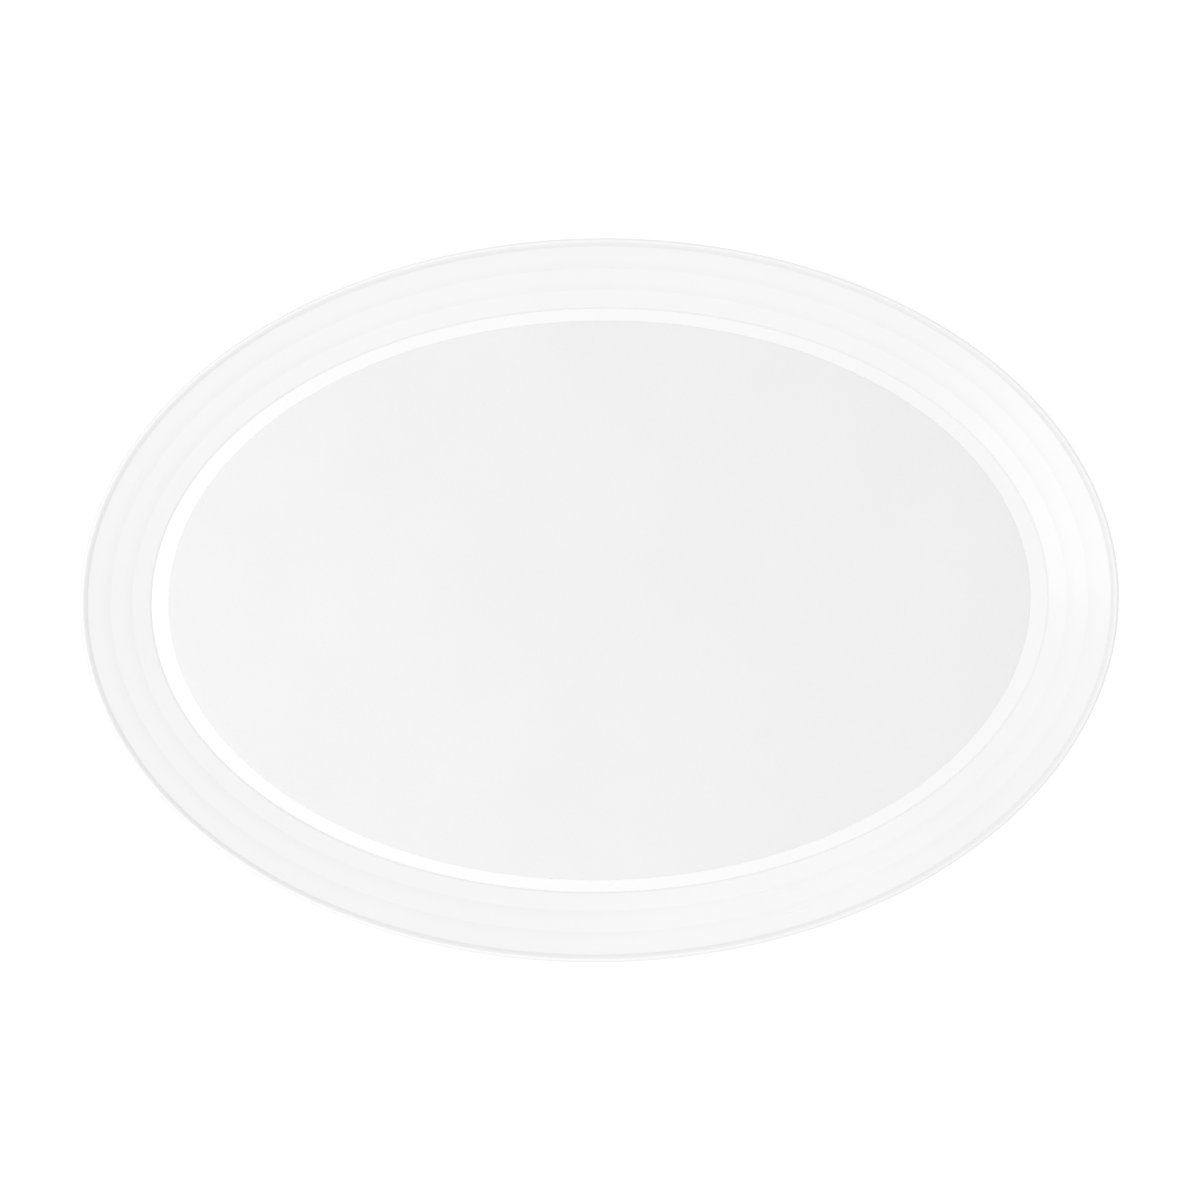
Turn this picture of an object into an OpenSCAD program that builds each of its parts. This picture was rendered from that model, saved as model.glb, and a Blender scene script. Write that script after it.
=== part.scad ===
// Oval lazy susan: a stepped-rim tray with an inlaid mat, turning on a low round base.
// The tray is screwed to a swivel plate, with the screws hidden under the mat. The plate
// runs on a caged ball race and is held down by a shoulder bolt at the centre.
// +Z is up, and the origin is on the table under the axis that the tray turns about.

/* [Tray] */
// Overall length of the tray, along X
tray_len = 419; // [400:1:440]
// Overall width of the tray, along Y
tray_wid = 292; // [284:1:310]
// Width of the stepped rim, seen from above
rim_w = 27.5; // [26:0.5:29]
// Rise of the lip above the floor
rim_h = 15; // [14:0.5:17]
// Height of the lip's outer band
lip_h = 4.6; // [4:0.2:5]
// Thickness of the floor beside the mat
floor_t = 4; // [3.6:0.1:4.4]
// Facets round the oval
oval_seg = 92; // [60:4:96]

/* [Mat] */
// Level margin between the rim and the mat, at the ends of the oval
margin_end = 7; // [5:0.5:12]
// Level margin between the rim and the mat, at the sides of the oval
margin_side = 5; // [4:0.5:10]
// Thickness of the mat
mat_t = 1.5; // [1.4:0.1:1.7]
// Depth of the recess that holds the mat
mat_recess = 1.4; // [1.2:0.1:1.5]

/* [Bearing] */
// Diameter of each steel ball
ball_d = 6; // [5.5:0.1:6.2]
// Radius of the circle that the ball centres follow
track_r = 76; // [74:0.5:77]
// Number of balls in the cage
ball_count = 20; // [12:1:20]
// Thickness of each steel race ring
race_t = 1.6; // [1.4:0.1:1.8]
// Depth of the groove in each race ring
groove_depth = 0.9; // [0.7:0.1:0.9]

/* [Base] */
// Outer radius of the base
base_r = 107.5; // [106:0.5:112]
// Height of the base's deck above the table
base_top = 8; // [8:0.1:9]
// Number of push-in feet
foot_count = 6; // [4:1:8]
// Height of the base's skirt above the table
foot_t = 2; // [1.5:0.1:2.2]

/* [Hidden] */
$fn = 96;

// Running and seating clearances
ball_gap = 0.03;
run_gap = 0.05;
seat_gap = 0.05;
skin_gap = 0.01;
inlay_gap = 0.1;

// How far shapes that are joined into one solid run into each other
weld = 0.5;

// Bearing stack, from the base's deck upwards
ball_r = ball_d / 2;
groove_r = ball_r * 1.1;
race_seat = 0.8;
race_half_w = 6;
race_in = track_r - race_half_w;
race_out = track_r + race_half_w;
race_lo_top = base_top + race_seat;
ball_z = race_lo_top - groove_depth + ball_gap + ball_r;
race_up_bottom = 2 * ball_z - race_lo_top;
race_up_top = race_up_bottom + race_t;
cage_t = 3;
cage_half_w = 5.5;
cage_edge = 0.4;
pocket_r = ball_r + 0.12;

// Swivel plate
plate_r = 92.5;
plate_wall = 2.5;
plate_deck = 2.5;
plate_bevel = 0.6;
plate_under = race_up_top - race_seat;
plate_top = plate_under + plate_deck;
plate_skirt_z = base_top + 1.2;
stand_h = 3.6;
plate_rib_count = 12;
plate_rib_t = 1.8;

// Tray heights: the tray stands on the swivel plate's wall and bosses
tray_under = plate_top + stand_h;
floor_z = tray_under + floor_t;
recess_z = floor_z - mat_recess;
lip_z = floor_z + rim_h;

// Half lengths and half widths of the floor, where the rim starts, and of the mat
well_a = tray_len / 2 - rim_w;
well_b = tray_wid / 2 - rim_w;
mat_a = well_a - margin_end;
mat_b = well_b - margin_side;
mat_edge = 0.35;

// Steps of the rim. Each row gives a riser's start and run as shares of rim_w, and its rise
// as a share of rim_h. The sloping treads make up the rest of the rise, up to the lip's crest
// at the end of the last riser.
risers = [
    [0.000, 0.030, 0.02],
    [0.270, 0.150, 0.02],
    [0.570, 0.150, 0.02],
    [0.885, 0.070, 0.06],
];
tread_share = 0.88;
crest = 0.955;
edge_r = rim_w * (1 - crest);

// The rim's underside is its upper face moved outwards and down
under_shift = 1.6;
under_drop = 2.9;

// Ribs under the tray, and the ring that locates it round the swivel plate
rib_t = 1.8;
rib_h = 3.4;
rib_end_h = 0.8;
rib_count = 16;
locate_gap = 0.5;
locate_t = 2;
locate_h = 4.4;

// Screws that hold the tray to the swivel plate
screw_count = 6;
screw_ring_r = 60;
screw_core_r = 1.5;
screw_head_r = 3.1;
screw_head_h = 1.5;
screw_tip_z = plate_under + 0.8;
screw_top_z = recess_z - 0.1;
screw_boss_r = 4.5;

// Pivot: the bolt's shoulder ends just above the swivel plate's deck
shoulder_r = 4;
thread_r = 3;
head_af = 13;
head_z = foot_t + 0.4;
head_h = 4;
shoulder_top = plate_top + 0.1;
spring_r = 8;
spring_h = 0.9;
spring_t = 0.5;
spring_z = shoulder_top - spring_h - seat_gap;
bush_r = 6;
bush_z = base_top + 1.3;
flange_r = 8.5;
flange_t = 1.4;
flange_z = spring_z - seat_gap - flange_t;
hub_r = 11;
washer_r = 9;
washer_t = 1.2;
nut_af = 10;
nut_h = 2.7;
nut_collar_h = 0.8;
nut_z = shoulder_top + washer_t;
thread_top = nut_z + nut_h + 0.35;

// Cap that closes the hub opening under the mat
access_r = 12;
cap_r = 14;
cap_t = 1.3;
cap_skirt_t = 1.3;
cap_z = recess_z - cap_t;

// Base
base_wall = 2.5;
base_deck = 2.5;
base_edge_r = 2.6;
boss_z = foot_t + 0.2;
hub_boss_r = 13;
race_pad_t = 1.6;
dust_wall_r = 88;
dust_wall_t = 2;
dust_wall_h = 3.4;
base_rib_count = 18;
base_rib_t = 1.6;
foot_ring_r = 94;
foot_r = 8.5;
stem_r = 2.2;
stem_h = 3.8;

/* Curves and shapes */

// Rise from 0 to 1 as t goes from 0 to 1, steep at first and level at the end
function ease(t) = t <= 0 ? 0 : t >= 1 ? 1 : t * (2 - t);

function sum(list, i = 0) = i < len(list) ? list[i] + sum(list, i + 1) : 0;

// Height of the rim's upper face above the floor, at a share x of the rim's width
function rim_rise(x) = rim_h * (tread_share * max(0, min(1, x / crest))
    + sum([for (r = risers) r[2] * ease((x - r[0]) / r[1])]));

// Oval ring at height z that stands d outside the floor's oval
function ring_at(d, z) = [well_a + d, well_b + d, z];

function oval_points(a, b, z) = [for (k = [0 : oval_seg - 1])
    [a * cos(360 * k / oval_seg), b * sin(360 * k / oval_seg), z]];

// Distance from the centre to an oval, in the direction of angle
function oval_reach(a, b, angle) = a * b / sqrt(pow(b * cos(angle), 2) + pow(a * sin(angle), 2));

// Closed solid through oval rings [a, b, z], from its top face's edge to its bottom face's edge
module loft(rings) {
    last = len(rings) - 1;
    points = [for (r = rings) each oval_points(r[0], r[1], r[2])];
    sides = [for (i = [0 : last - 1], k = [0 : oval_seg - 1])
        let (next = (k + 1) % oval_seg, p = i * oval_seg, q = p + oval_seg)
        each [[p + k, p + next, q + next], [p + k, q + next, q + k]]];
    top = [for (k = [oval_seg - 1 : -1 : 0]) k];
    bottom = [for (k = [0 : oval_seg - 1]) last * oval_seg + k];
    polyhedron(points, concat([top], sides, [bottom]), convexity = 6);
}

// Ring of rectangular section
module band(r_in, r_out, z0, z1) {
    rotate_extrude() translate([r_in, z0]) square([r_out - r_in, z1 - z0]);
}

module disc(r, z0, z1) {
    translate([0, 0, z0]) cylinder(r = r, h = z1 - z0);
}

module hex_prism(across_flats, z0, z1) {
    translate([0, 0, z0]) cylinder(r = across_flats / sqrt(3), h = z1 - z0, $fn = 6);
}

// Children repeated evenly round the axis at radius r, the first at angle start
module round_axis(count, r, start = 0) {
    for (i = [0 : count - 1]) rotate([0, 0, start + 360 * i / count]) translate([r, 0, 0]) children();
}

/* Tray, and what is fixed in it */

module tray_bowl() {
    recess = [
        [mat_a + inlay_gap, mat_b + inlay_gap, recess_z],
        [mat_a + inlay_gap, mat_b + inlay_gap, floor_z],
    ];
    riser_steps = 3;
    top_shares = [for (r = risers, s = [0 : riser_steps]) r[0] + r[1] * s / riser_steps];
    top = [for (x = top_shares) ring_at(x * rim_w, floor_z + rim_rise(x))];
    lip = [
        ring_at(rim_w - edge_r * (1 - cos(45)), lip_z - edge_r * (1 - sin(45))),
        ring_at(rim_w, lip_z - edge_r),
        ring_at(rim_w, lip_z - lip_h + 0.5),
        ring_at(rim_w - 0.5, lip_z - lip_h),
    ];
    under_steps = 2;
    under_shares = [for (i = [len(risers) - 1 : -1 : 1], s = [under_steps : -1 : 0])
        risers[i][0] + risers[i][1] * s / under_steps];
    under = [for (x = under_shares) if (x * rim_w + under_shift < rim_w - 1)
        ring_at(x * rim_w + under_shift, floor_z + rim_rise(x) - under_drop)];
    foot = [
        ring_at(under_shift + 1.3, floor_z + rim_rise(0.04) - under_drop),
        ring_at(under_shift + 0.3, floor_z - floor_t * 0.6),
        ring_at(under_shift - 0.6, tray_under),
    ];
    loft(concat(recess, top, lip, under, foot));
}

// Radial rib under the floor, from the locating ring to just inside the rim. Over its outer
// two thirds its lower edge rises, so that it doesn't show below the rim from the side.
module tray_rib(angle) {
    inner = plate_r + locate_gap + locate_t / 2;
    reach = oval_reach(well_a, well_b, angle) - 3;
    bend = inner + (reach - inner) / 3;
    rotate([0, 0, angle]) translate([0, rib_t / 2, 0]) rotate([90, 0, 0]) linear_extrude(rib_t) polygon([
        [inner, tray_under - rib_h],
        [bend, tray_under - rib_h],
        [reach, tray_under - rib_end_h],
        [reach, tray_under + weld],
        [inner, tray_under + weld],
    ]);
}

module tray_shell() {
    locate_r = plate_r + locate_gap;
    hole_r = screw_core_r + 0.3;
    sink_r = screw_head_r + 0.2;
    color("white") difference() {
        union() {
            tray_bowl();
            band(locate_r, locate_r + locate_t, tray_under - locate_h, tray_under + weld);
            for (i = [0 : rib_count - 1]) tray_rib(360 * (i + 0.5) / rib_count);
        }
        disc(access_r, tray_under - 1, floor_z + 1);
        disc(cap_r, cap_z, floor_z + 1);
        round_axis(screw_count, screw_ring_r) rotate_extrude() polygon([
            [0, tray_under - 1],
            [hole_r, tray_under - 1],
            [hole_r, screw_top_z - screw_head_h - inlay_gap],
            [sink_r, screw_top_z],
            [sink_r, floor_z + 1],
            [0, floor_z + 1],
        ]);
    }
}

module non_slip_mat() {
    mat_top = recess_z + mat_t;
    color("gainsboro") loft([
        [mat_a - mat_edge, mat_b - mat_edge, mat_top],
        [mat_a - mat_edge / 3, mat_b - mat_edge / 3, mat_top - mat_edge / 3],
        [mat_a, mat_b, mat_top - mat_edge],
        [mat_a, mat_b, recess_z + skin_gap],
    ]);
}

module hub_cap() {
    skirt_r = access_r - inlay_gap;
    color("whitesmoke") {
        disc(cap_r - inlay_gap, cap_z + skin_gap, recess_z - skin_gap);
        band(skirt_r - cap_skirt_t, skirt_r, tray_under - 0.3, cap_z + weld);
    }
}

module tray_screw() {
    slot_w = 0.7;
    slot_len = 3.4;
    slot_depth = 1;
    difference() {
        rotate_extrude() polygon([
            [0, screw_tip_z],
            [screw_core_r - 0.5, screw_tip_z],
            [screw_core_r, screw_tip_z + 0.8],
            [screw_core_r, screw_top_z - screw_head_h],
            [screw_head_r, screw_top_z - 0.2],
            [screw_head_r, screw_top_z],
            [0, screw_top_z],
        ]);
        for (turn = [0, 90]) rotate([0, 0, turn])
            translate([-slot_len / 2, -slot_w / 2, screw_top_z - slot_depth])
                cube([slot_len, slot_w, 2 * slot_depth]);
    }
}

module tray_screws() {
    color("silver") round_axis(screw_count, screw_ring_r) tray_screw();
}

/* Swivel plate and its bush */

module swivel_plate() {
    wall_in = plate_r - plate_wall;
    wall_top = tray_under - seat_gap;
    color("white") difference() {
        union() {
            rotate_extrude() polygon([
                [hub_r - weld, plate_under],
                [wall_in, plate_under],
                [wall_in, plate_skirt_z],
                [plate_r - plate_bevel, plate_skirt_z],
                [plate_r, plate_skirt_z + plate_bevel],
                [plate_r, wall_top],
                [wall_in + plate_bevel, wall_top],
                [wall_in, plate_top],
                [hub_r - weld, plate_top],
            ]);
            band(bush_r + seat_gap, hub_r, bush_z, plate_top);
            round_axis(plate_rib_count, hub_r, 15) translate([0, -plate_rib_t / 2, plate_top - weld])
                cube([wall_in - hub_r + 1, plate_rib_t, stand_h]);
            round_axis(screw_count, screw_ring_r) disc(screw_boss_r, plate_top - weld, wall_top);
        }
        band(race_in - seat_gap, race_out + seat_gap, plate_under - 1, race_up_top + seat_gap);
        disc(flange_r + seat_gap, flange_z, tray_under);
        round_axis(screw_count, screw_ring_r) disc(screw_core_r + seat_gap, screw_tip_z - 0.3, tray_under);
    }
}

module hub_bush() {
    color("ivory") difference() {
        union() {
            disc(bush_r, bush_z, flange_z + weld);
            disc(flange_r, flange_z + skin_gap, flange_z + flange_t);
        }
        disc(shoulder_r + run_gap, bush_z - 1, plate_top);
    }
}

/* Ball race */

// Flat steel ring, with a ball groove in its face at z_face. The face looks up when side is 1
// and down when side is -1.
module race_ring(z_face, side) {
    z_back = z_face - side * race_t;
    color("lightsteelblue") difference() {
        band(race_in, race_out, min(z_face, z_back), max(z_face, z_back));
        rotate_extrude() translate([track_r, z_face + side * (groove_r - groove_depth)]) circle(r = groove_r);
    }
}

module upper_race() {
    race_ring(race_up_bottom, -1);
}

module lower_race() {
    race_ring(race_lo_top, 1);
}

module at_ball(i) {
    rotate([0, 0, 360 * (i - 1) / ball_count]) translate([track_r, 0, ball_z]) children();
}

module ball_cage() {
    flat = cage_half_w - cage_edge;
    side = cage_t / 2 - cage_edge;
    color("dimgray") difference() {
        rotate_extrude() translate([track_r, ball_z]) polygon([
            [-cage_half_w, -side],
            [-flat, -cage_t / 2],
            [flat, -cage_t / 2],
            [cage_half_w, -side],
            [cage_half_w, side],
            [flat, cage_t / 2],
            [-flat, cage_t / 2],
            [-cage_half_w, side],
        ]);
        for (i = [1 : ball_count]) at_ball(i) sphere(r = pocket_r);
    }
}

module ball(i) {
    color("silver") at_ball(i) sphere(r = ball_r);
}

/* Base and its feet */

module base_shell() {
    deck_under = base_top - base_deck;
    wall_in = base_r - base_wall;
    bevel = 0.4;
    hole_r = shoulder_r + seat_gap;
    color("white") difference() {
        union() {
            rotate_extrude() polygon([
                [hole_r, deck_under],
                [wall_in, deck_under],
                [wall_in, foot_t + bevel],
                [wall_in + bevel, foot_t],
                [base_r - bevel, foot_t],
                [base_r, foot_t + bevel],
                for (a = [0 : 15 : 90]) [
                    base_r - base_edge_r * (1 - cos(a)),
                    base_top - base_edge_r * (1 - sin(a)),
                ],
                [hole_r, base_top],
            ]);
            band(hole_r, hub_boss_r, boss_z, deck_under + weld);
            band(race_in - 2, race_out + 2, deck_under - race_pad_t, deck_under + weld);
            band(dust_wall_r - dust_wall_t, dust_wall_r, base_top - weld, base_top + dust_wall_h);
            round_axis(base_rib_count, hub_boss_r - 1) translate([0, -base_rib_t / 2, boss_z + 0.8])
                cube([wall_in - hub_boss_r + 2, base_rib_t, deck_under - boss_z]);
            round_axis(foot_count, foot_ring_r) disc(foot_r, boss_z, deck_under + weld);
        }
        band(race_in - seat_gap, race_out + seat_gap, race_lo_top - race_t - seat_gap, base_top + 1);
        hex_prism(head_af + 0.3, 0, head_z + head_h + seat_gap);
        round_axis(foot_count, foot_ring_r) disc(stem_r + seat_gap, 0, boss_z + stem_h + 0.2);
    }
}

module foot(i) {
    pad_top = boss_z - skin_gap;
    color("lightgray") rotate([0, 0, 360 * (i - 1) / foot_count]) translate([foot_ring_r, 0, 0]) union() {
        rotate_extrude() polygon([
            [0, 0],
            [foot_r - 1.6, 0],
            [foot_r - 0.9, 0.2],
            [foot_r - 0.5, 0.7],
            [foot_r - 0.3, pad_top],
            [0, pad_top],
        ]);
        disc(stem_r, pad_top - weld, pad_top + stem_h);
    }
}

/* Pivot */

module pivot_bolt() {
    corner_r = head_af / sqrt(3) + skin_gap;
    head_top = head_z + head_h;
    chamfer = 0.9;
    color("silver") union() {
        intersection() {
            hex_prism(head_af, head_z, head_top);
            rotate_extrude() polygon([
                [0, head_z],
                [corner_r - 1.5 * chamfer, head_z],
                [corner_r, head_z + chamfer],
                [corner_r, head_top],
                [0, head_top],
            ]);
        }
        disc(shoulder_r, head_top - weld, shoulder_top);
        rotate_extrude() polygon([
            [0, shoulder_top - weld],
            [thread_r, shoulder_top - weld],
            [thread_r, thread_top - 0.5],
            [thread_r - 0.5, thread_top],
            [0, thread_top],
        ]);
    }
}

// Dished spring washer that takes up the play above the bush
module preload_spring() {
    inner = shoulder_r + 0.3;
    color("steelblue") rotate_extrude() polygon([
        [inner, spring_z + spring_h - spring_t],
        [spring_r, spring_z],
        [spring_r, spring_z + spring_t],
        [inner, spring_z + spring_h],
    ]);
}

module thrust_washer() {
    color("silver") band(thread_r + seat_gap, washer_r, shoulder_top + skin_gap, nut_z - skin_gap);
}

module lock_nut() {
    corner_r = nut_af / sqrt(3) + skin_gap;
    hex_top = nut_z + nut_h - nut_collar_h;
    color("gainsboro") difference() {
        union() {
            intersection() {
                hex_prism(nut_af, nut_z, hex_top);
                rotate_extrude() polygon([
                    [0, nut_z],
                    [nut_af / 2, nut_z],
                    [corner_r, nut_z + 0.45],
                    [corner_r, hex_top],
                    [0, hex_top],
                ]);
            }
            disc(nut_af / 2 - 0.4, hex_top - weld, nut_z + nut_h);
        }
        disc(thread_r + seat_gap, nut_z - 1, thread_top + 1);
    }
}

tray_shell();
non_slip_mat();
hub_cap();
tray_screws();
swivel_plate();
hub_bush();
upper_race();
ball_cage();
lower_race();
base_shell();
pivot_bolt();
preload_spring();
thrust_washer();
lock_nut();
for (i = [1 : ball_count]) ball(i);
for (i = [1 : foot_count]) foot(i);
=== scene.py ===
"""Looks of an oval lazy susan: a stepped tray with an inlaid mat, on a caged ball race and a round base.

Sizes are in millimetres until a mesh is made. The shapes are worked out as whole arrays: a closed
outline is carried round the turning axis, or rings are joined into a skin.
"""

import logging
import math
from collections.abc import Sequence
from dataclasses import dataclass, field
from enum import Enum

import bpy
import numpy as np
from mathutils import Euler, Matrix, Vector


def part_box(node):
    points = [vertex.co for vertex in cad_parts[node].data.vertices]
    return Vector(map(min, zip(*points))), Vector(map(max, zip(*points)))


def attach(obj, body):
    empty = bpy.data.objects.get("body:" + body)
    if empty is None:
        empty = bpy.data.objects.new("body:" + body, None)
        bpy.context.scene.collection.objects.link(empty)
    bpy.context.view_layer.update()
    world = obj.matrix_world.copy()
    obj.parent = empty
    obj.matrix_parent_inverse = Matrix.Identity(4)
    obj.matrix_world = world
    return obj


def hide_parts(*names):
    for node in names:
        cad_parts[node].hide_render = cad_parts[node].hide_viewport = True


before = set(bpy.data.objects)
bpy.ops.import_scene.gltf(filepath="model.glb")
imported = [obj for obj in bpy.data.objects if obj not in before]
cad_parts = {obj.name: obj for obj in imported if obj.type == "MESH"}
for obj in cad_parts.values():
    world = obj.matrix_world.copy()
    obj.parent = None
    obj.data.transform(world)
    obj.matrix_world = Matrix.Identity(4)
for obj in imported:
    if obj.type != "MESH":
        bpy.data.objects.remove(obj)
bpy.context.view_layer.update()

MM = 0.001
TINY = 1e-6
PLAY = 0.05  # gap between rigid pieces that fit together, in millimetres
SUNK = 0.6  # how far a rib or boss reaches into the face it stands on, in millimetres
LOG = logging.getLogger("turntable")

Colour = tuple[float, float, float]
Corner = tuple[float, float, float]
Piece = bpy.types.Object
Socket = bpy.types.NodeSocket
Number = "Value | float"


# ----- Shapes -----


@dataclass(frozen=True)
class Extent:
    """Lowest and highest corner of a frame node, in millimetres."""

    low: np.ndarray
    high: np.ndarray

    @classmethod
    def of(cls, node: str) -> "Extent":
        """Extent of the frame node of that name."""
        low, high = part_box(node)
        return cls(np.array(low) / MM, np.array(high) / MM)

    @property
    def half_x(self) -> float:
        """Half the length along X."""
        return float(self.high[0] - self.low[0]) / 2

    @property
    def half_y(self) -> float:
        """Half the length along Y."""
        return float(self.high[1] - self.low[1]) / 2

    @property
    def bottom(self) -> float:
        """Lowest height."""
        return float(self.low[2])

    @property
    def top(self) -> float:
        """Highest height."""
        return float(self.high[2])


@dataclass
class Shape:
    """Closed surface in millimetres: points, four-cornered and three-cornered faces, and end caps."""

    points: np.ndarray
    quads: np.ndarray
    tris: np.ndarray
    caps: list[np.ndarray] = field(default_factory=list)

    def volume(self) -> float:
        """Signed volume: the sum over all triangles of a . (b x c) / 6."""
        fans = [self.quads[:, [0, 1, 2]], self.quads[:, [0, 2, 3]], self.tris]
        for cap in self.caps:
            fans.append(np.stack([np.full(len(cap) - 2, cap[0]), cap[1:-1], cap[2:]], axis=-1))
        a, b, c = np.moveaxis(self.points[np.concatenate(fans)], 1, 0)
        return float((a * np.cross(b, c)).sum() / 6)

    def outward(self) -> "Shape":
        """The same shape with every face pointing outwards."""
        if self.volume() >= 0:
            return self
        caps = [cap[::-1] for cap in self.caps]
        return Shape(self.points, self.quads[:, ::-1], self.tris[:, ::-1], caps)

    def placed(self, offset: Sequence[float] = (0, 0, 0), turn: float = 0.0) -> "Shape":
        """The shape moved by offset and then turned about Z by an angle in degrees."""
        c, s = math.cos(math.radians(turn)), math.sin(math.radians(turn))
        spun = (self.points + np.array(offset, float)) @ np.array([[c, s, 0], [-s, c, 0], [0, 0, 1]])
        return Shape(spun, self.quads, self.tris, self.caps)

    def around(self, count: int, radius: float, start: float = 0.0) -> "Shape":
        """Copies spread evenly round the turning axis.

        Args:
            count: how many copies.
            radius: how far out each copy is moved.
            start: angle of the first copy, in degrees.

        Returns:
            One shape that holds every copy.
        """
        return merged([self.placed((radius, 0, 0), start + 360 * i / count) for i in range(count)])


def merged(shapes: Sequence[Shape]) -> Shape:
    """Several shapes as one, with their corner numbers moved up to match."""
    starts = np.cumsum([0] + [len(s.points) for s in shapes[:-1]])
    return Shape(
        np.concatenate([s.points for s in shapes]),
        np.concatenate([s.quads + n for s, n in zip(shapes, starts)]),
        np.concatenate([s.tris + n for s, n in zip(shapes, starts)]),
        [cap + n for s, n in zip(shapes, starts) for cap in s.caps],
    )


def skin(grid: np.ndarray, loop: bool = False) -> Shape:
    """Closed surface over a grid of points whose columns run once round.

    Args:
        grid: points as rows by columns by (x, y, z).
        loop: whether the last row joins the first, as on a ring. Otherwise each end row is
            closed: by triangles where it has shrunk to a point, or else by one flat cap.

    Returns:
        The surface, facing outwards.
    """
    poles = [] if loop else [i for i in (0, -1) if np.ptp(grid[i], axis=0).max() < TINY]
    tips = [grid[i].mean(axis=0) for i in poles]
    grid = grid[1 if 0 in poles else 0 : -1 if -1 in poles else None]
    rows, cols = grid.shape[:2]
    row = np.arange(rows if loop else rows - 1)[:, None]
    col = np.arange(cols)[None, :]
    above, beside = (row + 1) % rows * cols, (col + 1) % cols
    corners = [row * cols + col, row * cols + beside, above + beside, above + col]
    quads = np.stack(np.broadcast_arrays(*corners), axis=-1).reshape(-1, 4)
    rim = np.arange(cols)
    ahead = (rim + 1) % cols
    far = (rows - 1) * cols
    tris, caps = [np.zeros((0, 3), int)], []
    first_tip, last_tip = rows * cols, rows * cols + len(tips) - 1
    if not loop:
        if 0 in poles:
            tris.append(np.stack([ahead, rim, np.full(cols, first_tip)], axis=-1))
        else:
            caps.append(rim[::-1])
        if -1 in poles:
            tris.append(np.stack([far + rim, far + ahead, np.full(cols, last_tip)], axis=-1))
        else:
            caps.append(far + rim)
    points = np.concatenate([grid.reshape(-1, 3), np.array(tips).reshape(-1, 3)])
    return Shape(points, quads, np.concatenate(tris), caps).outward()


def rounded(corners: Sequence[Corner], loop: bool = True, steps: int = 5) -> np.ndarray:
    """Outline through corners (r, z, radius), each turned into an arc of its own radius.

    A corner is cut back on both sides by radius / tan(half its inside angle), and the arc swings
    about the centre that lies radius / sin(half the angle) along the corner's bisector.

    Args:
        corners: the outline's corners. A radius of 0 keeps the corner sharp.
        loop: whether the outline closes on itself. If not, its two ends stay sharp.
        steps: straight pieces in each arc.

    Returns:
        The outline's points (r, z).
    """
    places = np.array([corner[:2] for corner in corners], float)
    pieces = []
    for i, (place, radius) in enumerate(zip(places, [corner[2] for corner in corners])):
        if radius <= 0 or (not loop and i in (0, len(corners) - 1)):
            pieces.append(place[None])
            continue
        back = places[i - 1] - place
        ahead = places[(i + 1) % len(places)] - place
        back, ahead = back / np.linalg.norm(back), ahead / np.linalg.norm(ahead)
        half = math.acos(float(np.clip(back @ ahead, -1, 1))) / 2
        bisector = (back + ahead) / np.linalg.norm(back + ahead)
        centre = place + bisector * radius / math.sin(half)
        start = place + back * radius / math.tan(half) - centre
        end = place + ahead * radius / math.tan(half) - centre
        sweep = math.pi - 2 * half
        share = np.linspace(0, 1, steps + 1)[:, None]
        arc = (np.sin((1 - share) * sweep) * start + np.sin(share * sweep) * end) / math.sin(sweep)
        pieces.append(centre + arc)
    return np.concatenate(pieces)


def full_turn(segments: int) -> np.ndarray:
    """Angles of one whole turn, in radians, without the last."""
    return np.linspace(0, 2 * math.pi, segments, endpoint=False)


def swept(radius: np.ndarray | float, height: np.ndarray | float, turn: np.ndarray) -> np.ndarray:
    """Rows of points (radius cos t, radius sin t, height), one column for each angle t."""
    across, along, up = np.broadcast_arrays(radius * np.cos(turn), radius * np.sin(turn), height)
    return np.stack(np.atleast_2d(across, along, up), axis=-1)


def stacked(turn: np.ndarray, rows: Sequence[object]) -> np.ndarray:
    """One grid from rows (radius, height) and grids that are ready, one above the other."""
    return np.concatenate([swept(*row, turn) if isinstance(row, tuple) else row for row in rows])


def spin(outline: np.ndarray, segments: int = 96, loop: bool = True) -> Shape:
    """Surface of revolution: an outline point (r, z) goes round as (r cos t, r sin t, z).

    Args:
        outline: points (r, z).
        segments: steps round the axis.
        loop: whether the outline closes on itself. If not, it starts and ends on the axis.

    Returns:
        The surface.
    """
    return skin(swept(outline[:, :1], outline[:, 1:], full_turn(segments)), loop)


def oval_skin(rings: np.ndarray, segments: int) -> Shape:
    """Skin over oval rings: a ring (a, b, z) holds the points (a cos t, b sin t, z)."""
    turn = full_turn(segments)
    a, b, z = rings[:, :1], rings[:, 1:2], rings[:, 2:]
    return skin(np.stack([a * np.cos(turn), b * np.sin(turn), z + 0 * turn], axis=-1))


def hexagon(across: float, turn: np.ndarray) -> np.ndarray:
    """Radius of a hexagon at each angle: half its width across flats / cos(angle off the flat)."""
    sixth = math.pi / 3
    return across / 2 / np.cos(turn % sixth - sixth / 2)


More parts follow.
